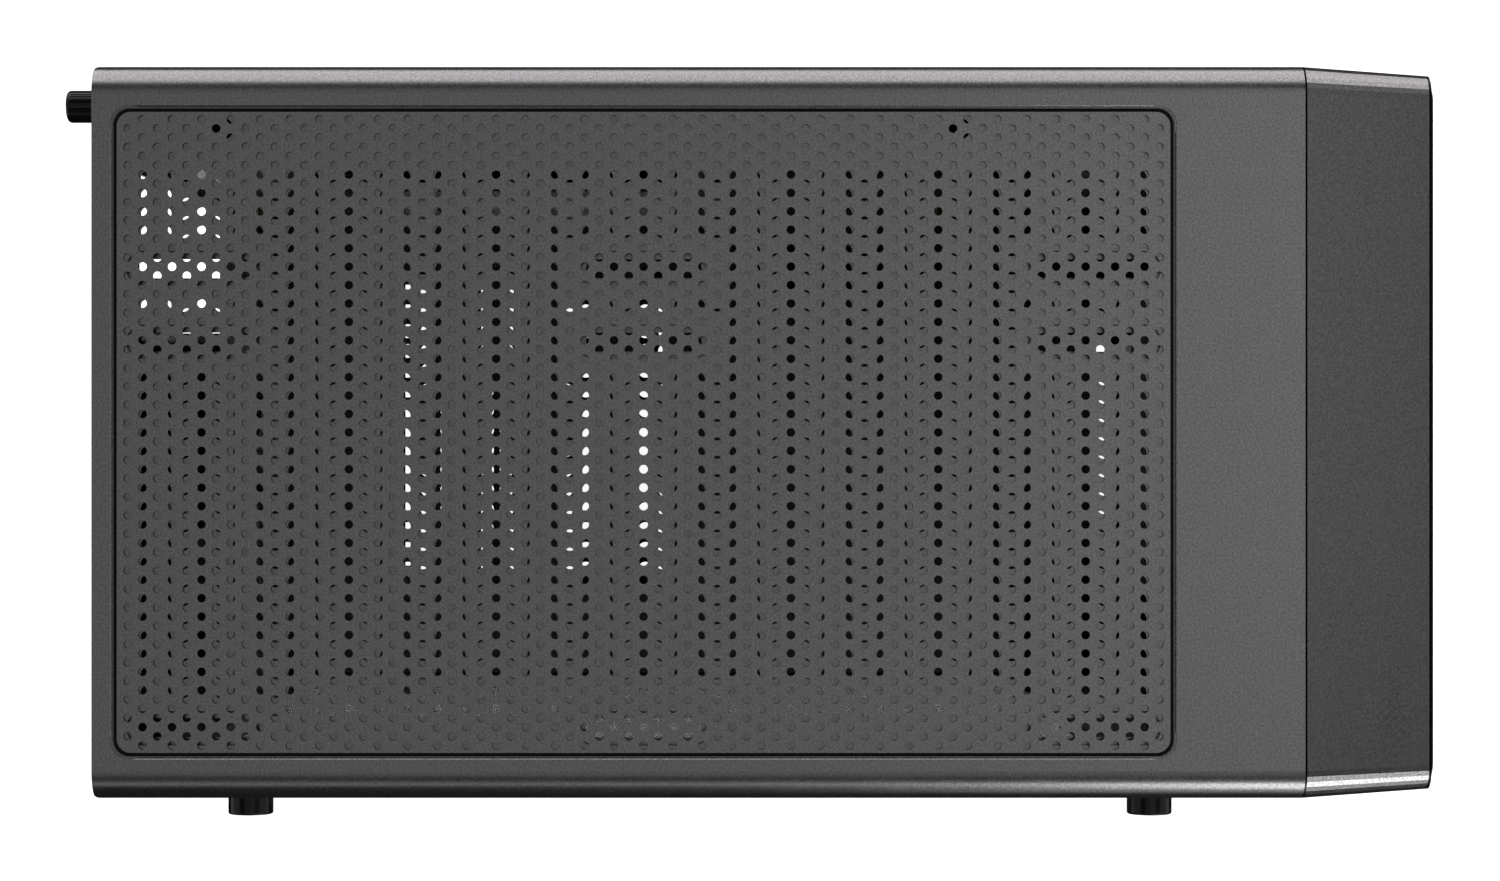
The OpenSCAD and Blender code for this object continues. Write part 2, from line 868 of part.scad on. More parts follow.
module filter_magnet() color("#101010") placed()
  plate_z(top_z, filter_z - top_z)
    translate([0, -filter_mid])
      rotate(90)
        difference() {
          round_rect(open_l - 2 * gap, open_w - 2 * gap, open_r - gap);
          round_rect(filter_l - 2 * magnet_lap, filter_w - 2 * magnet_lap,
                     filter_r - magnet_lap);
        }

// Tinted glass side with four bushed holes
module glass_panel() color("#2a2d30", 0.45) placed()
  difference() {
    plate_x(-half_w, glass_t)
      difference() {
        translate([-door_len / 2 - gap / 2, (door_low + door_top) / 2])
          round_rect(door_len - gap, door_top - door_low, 3);
        for (u = knob_us)
          for (z = [knob_low, knob_high])
            translate([-u, z])
              circle(d = bush_d);
      }
  }

module at_glass_knobs()
  for (u = knob_us)
    for (z = [knob_low, knob_high])
      translate([-half_w, -u, z])
        children();

module glass_bushes() color("#1a1a1a") placed()
  at_glass_knobs()
    rotate([0, 90, 0])
      difference() {
        union() {
          cylinder(d = bush_d - 0.1, h = glass_t);
          translate([0, 0, -0.8])
            cylinder(d = glass_knob_d - 0.5, h = 0.8);
        }
        translate([0, 0, -1])
          cylinder(d = screw_d + 2 * screw_slip, h = glass_t + 2);
      }

// Thumbscrew whose face is towards -z and whose shank is towards +z: a rounded rim, a dished
// face with a cross recess and, where it has any, fine grooves along the grip
module thumbscrew(head_d, head_h, shank_d, shank_l, rim_r, grooves) {
  rim_z = rim_r * 1.1;
  difference() {
    translate([0, 0, -head_h])
      rotate_extrude()
        polygon(concat(
          [[0, 0.6], [head_d / 2 - rim_r - 1.2, 0.6], [head_d / 2 - rim_r - 0.6, 0]],
          [for (a = [0:15:90]) [head_d / 2 - rim_r + rim_r * sin(a), rim_r - rim_r * cos(a)]],
          [[head_d / 2, head_h], [0, head_h]]));
    for (a = [0, 90])
      rotate(a)
        translate([0, 0, -head_h])
          cube([head_d * 0.36, 0.9, 3.6], center = true);
    if (grooves > 0)
      for (i = [0:grooves - 1])
        rotate(i * 360 / grooves)
          translate([head_d / 2, 0, rim_z - head_h])
            cylinder(d = 0.5, h = head_h - rim_z - 0.6, $fn = 6);
  }
  cylinder(d = shank_d, h = shank_l);
}

module glass_screw(i) color("#131313") placed()
  translate([-half_w - 0.8, -knob_us[i % 2], i < 2 ? knob_low : knob_high])
    rotate([0, 90, 0])
      thumbscrew(glass_knob_d, glass_knob_out - 0.8, screw_d, screw_reach + 0.8, 0.6, 0);

// Steel side with hems, a rear flange for its screws, and hooks that slide in the rails
hem_x = panel_x - 7.6;
front_hem_x = panel_x - 4;
flange_x = rear_knob_x - rear_knob_d / 2 - 0.1;
module side_panel() color("#4e4f52") placed()
  difference() {
    union() {
      plate_x(panel_x)
        translate([-door_len, door_low])
          square([door_len - 0.1, door_top - door_low]);
      span([flange_x, rear_y + 0.1, door_low], [panel_x, -0.1, door_top]);
      for (z = [door_low, door_top - sheet]) {
        span([hem_x, 2 - door_len, z], [panel_x, rear_in - panel_travel - 3, z + sheet]);
        for (u = hook_us)
          span([rail_x - 1.4, -u - hook_l / 2, z], [hem_x, -u + hook_l / 2, z + sheet]);
      }
      for (u = hook_us) {
        span([rail_x - 1.4, -u - hook_l / 2, door_top - sheet - hook_lip + 1],
             [rail_x - 0.5, -u + hook_l / 2, door_top - sheet]);
        span([rail_x - 1.4, -u - hook_l / 2, door_low + sheet],
             [rail_x - 0.5, -u + hook_l / 2, door_low + sheet + hook_lip - 1]);
      }
      span([front_hem_x, 2 - door_len, door_low], [panel_x, 2 - door_len + sheet, door_top]);
    }
    for (z = rear_knob_zs)
      rod_y([rear_knob_x, rear_y - 1, z], 4.4, 3);
  }

module side_screw(i) color("#131313") placed()
  translate([rear_knob_x, -0.1, rear_knob_zs[i]])
    rotate([90, 0, 0])
      thumbscrew(rear_knob_d, rear_knob_out + 0.1, rear_screw_d, 6, 1.2, 32);

// Tapered painted front: a lofted ring with a lip round the mesh
module front_slab(y, w, low, high, r)
  translate([0, y, (low + high) / 2])
    rotate([90, 0, 0])
      linear_extrude(0.1)
        hull()
          for (sx = [-1, 1])
            for (sz = [-1, 1])
              translate([sx * (w / 2 - r), sz * ((high - low) / 2 - r)])
                circle(r, $fn = 32);

module front_loft(y0, y1, inset)
  hull() {
    front_slab(y0, case_w - 2 * inset, foot_h + inset, case_h - inset, cover_r - inset * 0.8);
    front_slab(y1 + 0.1, case_w - 2 * shell_taper - 2 * inset, foot_h + shell_low_rise + inset,
               case_h - shell_drop - inset, cover_r - 1 - inset * 0.8);
  }

module front_shell() color("#58595c") placed()
  difference() {
    front_loft(shell_y, shell_front, 0);
    front_loft(shell_y + 0.2, shell_front + front_wall, front_wall);
    translate([0, shell_front + front_wall + 1, carrier_z])
      rotate([90, 0, 0])
        linear_extrude(front_wall + 2)
          round_rect(carrier_w + 2 * gap, carrier_h + 2 * gap, 4 + gap);
  }

// Black inner frame of the front, with clip pins and the shelf for the port board
module front_carrier() color("#17181a") placed() {
  plate_y(shell_y, shell_y - mesh_back)
    translate([0, carrier_z])
      difference() {
        round_rect(carrier_w, carrier_h, 4);
        round_rect(carrier_w - 5, carrier_h - 5, 2);
      }
  plate_y(shell_y, 2.5)
    difference() {
      translate([0, carrier_z])
        round_rect(carrier_w, carrier_h, 4);
      translate([0, (carrier_low + 8 + carrier_high - io_zone - 4) / 2])
        round_rect(2 * clip_x - 12, carrier_h - io_zone - 12, 5);
    }
  for (sx = [-1, 1])
    for (z = clip_zs)
      translate([sx * clip_x, shell_y, z])
        rotate([-90, 0, 0]) {
          cylinder(d = clip_d, h = 7);
          translate([0, 0, 7])
            cylinder(d1 = clip_d, d2 = clip_d - 3, h = 3);
        }
  span([-92, board_y - board_t - 6, shelf_z - 2.5], [60, shell_y - 2.4, shelf_z]);
}

// Face plate of the front: pill-shaped openings below, buttons and ports above
pill = [24, 5.5];
pill_pitch = [9.5, 29];
pill_cols = 18;
pill_rows = 13;
module front_mesh() color("#131415") placed()
  plate_y(mesh_back, mesh_t)
    difference() {
      translate([0, carrier_z])
        round_rect(carrier_w, carrier_h, 4);
      for (i = [0:pill_cols - 1])
        for (j = [0:pill_rows - 1 - i % 2])
          translate([(i - (pill_cols - 1) / 2) * pill_pitch[0],
                     carrier_low + 26 + (j + i % 2 * 0.5) * pill_pitch[1]])
            rotate(90)
              stadium(pill[0], pill[1]);
      translate([power_x, io_row_z])
        circle(d = power_d + 2 * gap);
      translate([reset_x, io_row_z])
        circle(d = reset_d + 2 * gap);
      translate([lens_x, io_row_z])
        circle(d = lens_d + 0.2);
      for (x = usb_xs)
        translate([x, io_row_z])
          square([usb_size[0] + 0.4, usb_size[1] + 0.4], center = true);
      translate([usb_c_x, io_row_z])
        stadium(usb_c_size[0] + 0.4, usb_c_size[1] + 0.4);
      translate([audio_x, io_row_z])
        circle(d = audio_d + 0.4);
    }

// A cap with a retaining rim behind the face plate and a stem towards its switch
module push_button(x, d) {
  translate([x, mesh_y - 0.4, io_row_z])
    rotate([-90, 0, 0])
      cylinder(d = d, h = mesh_t + 0.4 + gap + 0.2);
  rod_y([x, mesh_back + gap, io_row_z], d + 2, 1.2);
  rod_y([x, mesh_back + gap, io_row_z], 3,
        board_y - board_t - 3.5 - gap - button_travel - mesh_back - gap);
}

module power_button() color("#1b1c1e") placed() push_button(power_x, power_d);
module reset_button() color("#1b1c1e") placed() push_button(reset_x, reset_d);

// Upright board with the ports and the two switches on its front
module io_board() color("#14381f") placed()
  difference() {
    span([-80, board_y - board_t, shelf_z], [56, board_y, io_row_z + 7]);
    for (x = [-60, 54])
      rod_y([x, board_y - board_t - 1, io_row_z], 3, board_t + 2);
  }

module button_switches() color("#0f0f10") placed()
  for (x = [power_x, reset_x]) {
    span([x - 3, board_y - board_t - 2.5, io_row_z - 3],
         [x + 3, board_y - board_t, io_row_z + 3]);
    rod_y([x, board_y - board_t - 3.5, io_row_z], 3, 1);
  }

// Hollow port shells that run from the board to the face plate
module port_body(x)
  plate_y(board_y - board_t, board_y - board_t - port_front)
    translate([x, io_row_z])
      children();

module usb_port(x) color("#9a9ca0") placed() {
  difference() {
    port_body(x)
      square(usb_size, center = true);
    translate([x, port_front - 1, io_row_z])
      rotate([-90, 0, 0])
        linear_extrude(11)
          square([usb_size[0] - 0.8, usb_size[1] - 0.8], center = true);
  }
  span([x - 5.5, port_front + 1.5, io_row_z + 0.2], [x + 5.5, port_front + 11, io_row_z + 2]);
}

module usb_port_1() usb_port(usb_xs[0]);
module usb_port_2() usb_port(usb_xs[1]);

module usb_c_port() color("#9a9ca0") placed() {
  difference() {
    port_body(usb_c_x)
      stadium(usb_c_size[0], usb_c_size[1]);
    translate([usb_c_x, port_front - 1, io_row_z])
      rotate([-90, 0, 0])
        linear_extrude(8)
          stadium(usb_c_size[0] - 0.6, usb_c_size[1] - 0.6);
  }
  span([usb_c_x - 3.3, port_front + 1, io_row_z - 0.35],
       [usb_c_x + 3.3, port_front + 8, io_row_z + 0.35]);
}

module audio_jack() color("#1c1d1f") placed()
  difference() {
    rod_y([audio_x, port_front, io_row_z], audio_d, board_y - board_t - port_front);
    rod_y([audio_x, port_front - 1, io_row_z], 3.6, 12);
  }

module status_lens() color("#e8eef2") placed()
  rod_y([lens_x, mesh_y, io_row_z], lens_d, board_y - board_t - mesh_y);

// Rubber liner of a cable slot, with a slit membrane
module cable_grommet(i) color("#121212") placed()
  translate([0, -cable_slot_u, cable_slot_zs[i]]) {
    plate_x(tray_x - 1.2, 1.2)
      difference() {
        round_rect(cable_slot[0] + 5, cable_slot[1] + 5, 8);
        square([1.6, cable_slot[1] - 12], center = true);
        for (k = [-2:2])
          translate([0, k * 14])
            square([cable_slot[0] - 6, 1.2], center = true);
      }
    plate_x(tray_x, sheet)
      difference() {
        round_rect(cable_slot[0], cable_slot[1], 6);
        round_rect(cable_slot[0] - 4, cable_slot[1] - 4, 4);
      }
  }

// Round foot with a rubber pad set into it
foot_d = 38;
pad_d = 30;
pad_h = 3.5;
module at_foot(i)
  translate([foot_xs[i % 2], -foot_us[floor(i / 2)], 0])
    children();

module foot(i) color("#1a1b1c") placed()
  at_foot(i) {
    difference() {
      rotate_extrude()
        polygon([[0, 2], [foot_d / 2 - 4, 2], [foot_d / 2 - 2.5, 2.6],
                 [foot_d / 2, foot_h - 3], [foot_d / 2, foot_h - 1.2],
                 [foot_d / 2 - 1.2, foot_h], [0, foot_h]]);
      translate([0, 0, -1])
        cylinder(d = pad_d, h = pad_h + 1);
    }
    translate([0, 0, foot_h - 1])
      cylinder(d = foot_screw_d, h = 1 + sheet + 2);
    translate([0, 0, floor_z])
      cylinder(d = 8, h = 2);
  }

module foot_pad(i) color("#0e0e0e") placed()
  at_foot(i)
    cylinder(d = pad_d, h = pad_h);

base_pan();
rear_panel();
motherboard_tray();
front_frame();
top_panel();
top_cover();
psu_shroud();
drive_cage();
ssd_plate_rear();
ssd_plate_front();
standoffs();
psu_pads();
slot_ledge();
slot_screws();
fan_frame();
fan_rotor();
fan_screws();
dust_filter();
filter_magnet();
glass_panel();
glass_bushes();
side_panel();
front_shell();
front_carrier();
front_mesh();
power_button();
reset_button();
io_board();
usb_port_1();
usb_port_2();
usb_c_port();
audio_jack();
status_lens();
button_switches();
for (i = [0:slots - 1])
  slot_cover(i);
for (i = [0:3])
  glass_screw(i);
for (i = [0:1])
  side_screw(i);
for (i = [0:2])
  cable_grommet(i);
for (i = [0:3])
  foot(i);
for (i = [0:3])
  foot_pad(i);
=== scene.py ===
"""Looks of the mid-tower computer case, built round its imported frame.

Lengths are in metres. The front is at -Y, the glass side at -X and the floor at z = 0.
"""
import json
import math

import bmesh
import bpy
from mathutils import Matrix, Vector
from mathutils.geometry import delaunay_2d_cdt


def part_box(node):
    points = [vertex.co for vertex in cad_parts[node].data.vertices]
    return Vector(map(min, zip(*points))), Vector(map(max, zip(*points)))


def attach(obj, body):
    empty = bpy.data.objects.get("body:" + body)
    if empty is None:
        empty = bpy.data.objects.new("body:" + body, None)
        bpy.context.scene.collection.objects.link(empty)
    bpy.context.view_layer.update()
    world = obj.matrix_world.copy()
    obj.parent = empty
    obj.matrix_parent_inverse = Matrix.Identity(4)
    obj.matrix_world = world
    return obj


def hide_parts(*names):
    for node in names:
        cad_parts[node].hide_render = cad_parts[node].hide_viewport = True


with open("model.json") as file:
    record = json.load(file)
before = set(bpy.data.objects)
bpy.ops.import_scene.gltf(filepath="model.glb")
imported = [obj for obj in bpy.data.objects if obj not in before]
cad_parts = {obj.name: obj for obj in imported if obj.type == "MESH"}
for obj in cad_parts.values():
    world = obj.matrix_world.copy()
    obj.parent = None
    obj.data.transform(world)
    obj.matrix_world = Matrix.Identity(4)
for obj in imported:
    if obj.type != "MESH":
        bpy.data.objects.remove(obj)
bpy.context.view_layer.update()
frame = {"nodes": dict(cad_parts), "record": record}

MM = 0.001
SAME_POINT = 1e-8
NODES = frame["nodes"]


# Outlines, all lists of (x, y) that run once round a shape

def circle(cx, cy, radius, steps=16):
    """A polygon of that many sides round a centre."""
    return [(cx + radius * math.cos(math.tau * (k + 0.5) / steps),
             cy + radius * math.sin(math.tau * (k + 0.5) / steps)) for k in range(steps)]


def round_rect(cx, cy, size_x, size_y, radius, steps=8):
    """A rectangle whose corners are arcs of that radius."""
    points = []
    for turn, (sx, sy) in enumerate(((1, 1), (-1, 1), (-1, -1), (1, -1))):
        for k in range(steps + 1):
            angle = math.pi / 2 * (turn + k / steps)
            points.append((cx + sx * (size_x / 2 - radius) + radius * math.cos(angle),
                           cy + sy * (size_y / 2 - radius) + radius * math.sin(angle)))
    return points


def slot_outline(cx, cy, size_x, size_y, steps=10):
    """A slot with full-round ends, long along y."""
    points = []
    for side in (1, -1):
        for k in range(steps + 1):
            angle = (0 if side > 0 else math.pi) + math.pi * k / steps
            points.append((cx + size_x / 2 * math.cos(angle),
                           cy + side * (size_y - size_x) / 2 + size_x / 2 * math.sin(angle)))
    return points


def box_outline(x0, y0, x1, y1):
    return [(x0, y0), (x1, y0), (x1, y1), (x0, y1)]


# Solids, each a pair of vertices and faces

SHARP_DEG = 30


def upright(a, b, c):
    """Places a sheet's outline in (x, y) and its thickness along z."""
    return (a, b, c)


def sideways(a, b, c):
    """Places a sheet's outline in (y, z) and its thickness along x."""
    return (c, a, b)


def cut_sheet(outer, holes, low, high, place=upright):
    """A sheet from low to high with that outline and those holes cut through it."""
    points, edges, loop_of = [], [], []
    for index, loop in enumerate([outer] + holes):
        start = len(points)
        points += [Vector(p) for p in loop]
        loop_of += [index] * len(loop)
        edges += [(start + i, start + (i + 1) % len(loop)) for i in range(len(loop))]
    flat, _, triangles, origins, _, _ = delaunay_2d_cdt(points, edges, [], 1, SAME_POINT)
    loops = [loop_of[o[0]] if o else 0 for o in origins]
    index_of = {}
    for new, old in enumerate(origins):
        for o in old:
            index_of[o] = new
    count = len(flat)
    kept = [t for t in triangles
            if not (loops[t[0]] > 0 and loops[t[0]] == loops[t[1]] == loops[t[2]])]
    verts = [place(p[0], p[1], z) for z in (low, high) for p in flat]
    faces = [tuple(reversed(t)) for t in kept] + [tuple(i + count for i in t) for t in kept]
    for a, b in edges:
        a, b = index_of[a], index_of[b]
        faces.append((a, b, b + count, a + count))
    return verts, faces


def run_along_y(profile, y0, y1):
    """A closed profile in (x, z) run from y0 to y1."""
    n = len(profile)
    verts = [(x, y0, z) for x, z in profile] + [(x, y1, z) for x, z in profile]
    faces = [tuple(range(n)), tuple(reversed(range(n, 2 * n)))]
    faces += [(i, i + n, (i + 1) % n + n, (i + 1) % n) for i in range(n)]
    return verts, faces


def ring_x(x0, x1, y, z, outer, inner, steps=32):
    """A short tube along x."""
    verts, faces = [], []
    for k in range(steps):
        c, s = math.cos(math.tau * k / steps), math.sin(math.tau * k / steps)
        verts += [(x, y + r * c, z + r * s)
                  for x, r in ((x0, outer), (x1, outer), (x1, inner), (x0, inner))]
    for k in range(steps):
        a, b = 4 * k, 4 * ((k + 1) % steps)
        faces += [(a + i, a + (i + 1) % 4, b + (i + 1) % 4, b + i) for i in range(4)]
    return verts, faces


def add_object(name, data):
    """A new object of the scene that shows a mesh, a lamp or a camera."""
    made = bpy.data.objects.new(name, data)
    bpy.context.scene.collection.objects.link(made)
    return made


def piece(name, solids, material, body, stands_for):
    """Joins solids into one object that rides on a body in place of CAD nodes."""
    verts, faces = [], []
    for v, f in solids:
        start = len(verts)
        verts += v
        faces += [tuple(i + start for i in face) for face in f]
    mesh = bpy.data.meshes.new(name)
    mesh.from_pydata(verts, [], faces)
    work = bmesh.new()
    work.from_mesh(mesh)
    bmesh.ops.recalc_face_normals(work, faces=work.faces)
    work.to_mesh(mesh)
    work.free()
    mesh.shade_smooth()
    mesh.set_sharp_from_angle(angle=math.radians(SHARP_DEG))
    mesh.materials.append(material)
    made = add_object(name, mesh)
    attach(made, body)
    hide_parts(*stands_for)


# Materials

NOISE_LOW = 0.3  # the span of the noise that carries nearly all of its grains
NOISE_HIGH = 0.7


def new_material(name, colour, roughness, metallic=0.0, **sockets):
    """A Principled material; sockets are set by name, with _ for a space."""
    material = bpy.data.materials.new(name)
    material.use_nodes = True
    shader = material.node_tree.nodes["Principled BSDF"]
    shader.inputs["Base Color"].default_value = (*colour, 1)
    shader.inputs["Roughness"].default_value = roughness
    shader.inputs["Metallic"].default_value = metallic
    for key, value in sockets.items():
        shader.inputs[key.replace("_", " ")].default_value = value
    return material


def noise(material, size, detail=2.0, stretch=(1, 1, 1)):
    """Noise whose grains are about that size, in object space."""
    tree = material.node_tree
    place = tree.nodes.new("ShaderNodeTexCoord")
    scale = tree.nodes.new("ShaderNodeMapping")
    scale.inputs["Scale"].default_value = stretch
    texture = tree.nodes.new("ShaderNodeTexNoise")
    texture.inputs["Scale"].default_value = 1 / size
    texture.inputs["Detail"].default_value = detail
    tree.links.new(place.outputs["Object"], scale.inputs["Vector"])
    tree.links.new(scale.outputs["Vector"], texture.inputs["Vector"])
    return texture.outputs["Fac"]


def scaled(colour, factor):
    return tuple(c * factor for c in colour)


def vary_colour(material, source, colour, darkest, lightest):
    """Colour runs with the noise between two multiples of itself."""
    tree = material.node_tree
    ramp = tree.nodes.new("ShaderNodeValToRGB")
    ramp.color_ramp.elements[0].position = NOISE_LOW
    ramp.color_ramp.elements[0].color = (*scaled(colour, darkest), 1)
    ramp.color_ramp.elements[1].position = NOISE_HIGH
    ramp.color_ramp.elements[1].color = (*scaled(colour, lightest), 1)
    tree.links.new(source, ramp.inputs["Fac"])
    tree.links.new(ramp.outputs["Color"], tree.nodes["Principled BSDF"].inputs["Base Color"])


def vary_roughness(material, source, low, high):
    """Roughness runs from low to high with the noise."""
    tree = material.node_tree
    spread = tree.nodes.new("ShaderNodeMapRange")
    spread.inputs["From Min"].default_value = NOISE_LOW
    spread.inputs["From Max"].default_value = NOISE_HIGH
    spread.inputs["To Min"].default_value = low
    spread.inputs["To Max"].default_value = high
    tree.links.new(source, spread.inputs["Value"])
    tree.links.new(spread.outputs["Result"], tree.nodes["Principled BSDF"].inputs["Roughness"])


def bump(material, source, height):
    """Grains that stand out by that height."""
    tree = material.node_tree
    node = tree.nodes.new("ShaderNodeBump")
    node.inputs["Distance"].default_value = height
    tree.links.new(source, node.inputs["Height"])
    tree.links.new(node.outputs["Normal"], tree.nodes["Principled BSDF"].inputs["Normal"])


def math_node(tree, operation, first, second):
    """The result of a maths node on two inputs, each a socket or a number."""
    node = tree.nodes.new("ShaderNodeMath")
    node.operation = operation
    for socket, value in zip(node.inputs, (first, second)):
        if isinstance(value, (int, float)):
            socket.default_value = value
        else:
            tree.links.new(value, socket)
    return node.outputs[0]


def mix_shaders(tree, factor, first, second):
    """A node that shows the first shader at a factor of zero and the second at one."""
    node = tree.nodes.new("ShaderNodeMixShader")
    tree.links.new(factor, node.inputs["Fac"])
    tree.links.new(first.outputs[0], node.inputs[1])
    tree.links.new(second.outputs[0], node.inputs[2])
    return node


def painted(name, colour, roughness, metallic, grain, height):
    """Fine-textured paint on sheet steel."""
    material = new_material(name, colour, roughness, metallic)
    fine = noise(material, grain, detail=3)
    vary_colour(material, fine, colour, darkest=0.74, lightest=1.26)
    cloud = noise(material, 8 * MM, detail=3)
    vary_roughness(material, cloud, roughness - 0.01, roughness + 0.015)
    bump(material, fine, height)
    return material


def moulded(name, colour, roughness, height=0.02 * MM, gloss=0.5):
    """Moulded plastic or rubber with a faint spark-eroded skin."""
    material = new_material(name, colour, roughness, Specular_IOR_Level=gloss)
    fine = noise(material, 0.6 * MM)
    vary_colour(material, fine, colour, darkest=0.8, lightest=1.25)
    vary_roughness(material, noise(material, 10 * MM), roughness - 0.06, roughness + 0.06)
    bump(material, fine, height)
    return material


def plated(name, colour, roughness):
    """Bright plated or turned metal with faint tool lines."""
    material = new_material(name, colour, roughness, 1.0)
    lines = noise(material, 0.4 * MM, detail=1, stretch=(0.2, 3, 3))
    vary_colour(material, lines, colour, darkest=0.85, lightest=1.1)
    vary_roughness(material, noise(material, 4 * MM), roughness - 0.08, roughness + 0.08)
    bump(material, lines, 0.004 * MM)
    return material


EDGE_GRAY = (0.26, 0.28, 0.27)
EDGE_ROUGHNESS = 0.6
FACE_NORMAL = 0.8  # the pane's two faces look along x by more than this
HEAD_ON = 0.04  # share of light that glass mirrors when looked at straight


def tinted_glass(name, tint):
    """A polished pane seen straight through, with a ground edge."""
    material = new_material(name, EDGE_GRAY, EDGE_ROUGHNESS)
    tree = material.node_tree
    ground_edge = tree.nodes["Principled BSDF"]
    cloud = noise(material, 80 * MM)
    vary_colour(material, cloud, EDGE_GRAY, darkest=0.9, lightest=1.1)
    path = tree.nodes.new("ShaderNodeLightPath")
    for_lamps = tree.nodes.new("ShaderNodeBsdfTransparent")
    for_lamps.inputs["Color"].default_value = (*tint, 1)
    body = tree.nodes.new("ShaderNodeBsdfTransparent")
    body.inputs["Color"].default_value = (*(math.sqrt(c) for c in tint), 1)
    gloss = tree.nodes.new("ShaderNodeBsdfGlossy")
    gloss.inputs["Roughness"].default_value = 0.0
    slant = tree.nodes.new("ShaderNodeLayerWeight")
    slant.inputs["Blend"].default_value = 0.5
    fifth = math_node(tree, "POWER", slant.outputs["Facing"], 5.0)
    shine = math_node(tree, "ADD", math_node(tree, "MULTIPLY", fifth, 1 - HEAD_ON), HEAD_ON)
    pane = mix_shaders(tree, shine, body, gloss)
    face = tree.nodes.new("ShaderNodeNewGeometry")
    normal = tree.nodes.new("ShaderNodeSeparateXYZ")
    tree.links.new(face.outputs["True Normal"], normal.inputs["Vector"])
    sideward = math_node(tree, "ABSOLUTE", normal.outputs["X"], 0.0)
    on_face = math_node(tree, "GREATER_THAN", sideward, FACE_NORMAL)
    sheet = mix_shaders(tree, on_face, ground_edge, pane)
    whole = mix_shaders(tree, path.outputs["Is Shadow Ray"], sheet, for_lamps)
    tree.links.new(whole.outputs[0], tree.nodes["Material Output"].inputs["Surface"])
    return material


GRAY = (0.118, 0.118, 0.118)
SHELL_GRAY = (0.127, 0.127, 0.127)
PAINT_BLACK = (0.016, 0.016, 0.017)
MATERIALS = {
    "gray_paint": painted("gray_paint", GRAY, 0.27, 0.95, 0.6 * MM, 0.014 * MM),
    "gray_shell": painted("gray_shell", SHELL_GRAY, 0.26, 0.95, 0.6 * MM, 0.014 * MM),
    "black_paint": painted("black_paint", PAINT_BLACK, 0.45, 0.2, 0.9 * MM, 0.03 * MM),
    "black_plastic": moulded("black_plastic", (0.014, 0.014, 0.015), 0.45),
    "gloss_black": moulded("gloss_black", (0.005, 0.005, 0.0055), 0.14,
                           height=0.002 * MM, gloss=0.12),
    "rubber": moulded("rubber", (0.003, 0.003, 0.003), 0.9, gloss=0.1),
    "tinted_glass": tinted_glass("tinted_glass", (0.50, 0.51, 0.53)),
    "bright_steel": plated("bright_steel", (0.55, 0.56, 0.58), 0.28),
    "brass": plated("brass", (0.10, 0.085, 0.055), 0.40),
    "board_green": moulded("board_green", (0.010, 0.060, 0.025), 0.35),
    "clear_lens": moulded("clear_lens", (0.80, 0.85, 0.88), 0.30),
}


# Paint of the CAD nodes, with black edges where the photo's are

# width of the painted shade along the seam between cover and front
SEAM_SHADE = 0.12 * MM
# width of the black band at the front shell's front rim
FRONT_DARK = 0.8 * MM
# how far past the filter's outline the groove's painted shade reaches
GROOVE_SHADE_REACH = 1.15 * MM
FILTER_CORNER = 3.8 * MM
# black of the painted shade in seams and groove, and of the front's rim band
SHADE_AND_RIM_BLACK = (0.002, 0.002, 0.002, 1)


def darken(material, amount):
    """Turns the colour nearly black where a mask is one."""
    tree = material.node_tree
    shader = tree.nodes["Principled BSDF"]
    source = shader.inputs["Base Color"].links[0].from_socket
    mix = tree.nodes.new("ShaderNodeMix")
    mix.data_type = "RGBA"
    plain, black = [socket for socket in mix.inputs
                    if socket.name in ("A", "B") and socket.type == "RGBA"]
    black.default_value = SHADE_AND_RIM_BLACK
    tree.links.new(amount, mix.inputs["Factor"])
    tree.links.new(source, plain)
    result = next(socket for socket in mix.outputs if socket.type == "RGBA")
    tree.links.new(result, shader.inputs["Base Color"])


def end_mask(tree, y, ys, dark_low, dark_high):
    """One in the last stretch at either end of a piece that spans ys along y."""
    return math_node(tree, "MAXIMUM", math_node(tree, "LESS_THAN", y, ys[0] + dark_low),
                     math_node(tree, "GREATER_THAN", y, ys[1] - dark_high))


def groove_shade_mask(tree, point, low, high):
    """One within the rounded outline of the filter's opening, where the groove's shade is
    painted.
    """
    edges = []
    for axis in range(2):
        centre = (low[axis] + high[axis]) / 2
        half = (high[axis] - low[axis]) / 2 - FILTER_CORNER
        away = math_node(tree, "SUBTRACT", point.outputs[axis], centre)
        far = math_node(tree, "ABSOLUTE", away, 0.0)
        past = math_node(tree, "MAXIMUM", math_node(tree, "SUBTRACT", far, half), 0.0)
        edges.append(math_node(tree, "MULTIPLY", past, past))
    reach = FILTER_CORNER + GROOVE_SHADE_REACH
    return math_node(tree, "LESS_THAN", math_node(tree, "ADD", *edges), reach * reach)


def dark_edges(name, node, dark_low, dark_high, opening=None):
    """Paint that turns black at a piece's two ends along y, and in the filter's opening; the
    black in the opening is painted shade.
    """
    # this copy carries the painted shade of the seams and groove
    material = MATERIALS[name].copy()
    material.name = node.name + "_paint"
    tree = material.node_tree
    place = tree.nodes.new("ShaderNodeTexCoord")
    point = tree.nodes.new("ShaderNodeSeparateXYZ")
    tree.links.new(place.outputs["Object"], point.inputs["Vector"])
    ys = [v.co.y for v in node.data.vertices]
    mask = end_mask(tree, point.outputs["Y"], (min(ys), max(ys)), dark_low, dark_high)
    # painted shade in the groove round the filter
    if opening:
        mask = math_node(tree, "MAXIMUM", mask, groove_shade_mask(tree, point, *opening))
    darken(material, mask)
    for slot in node.material_slots:
        slot.material = material


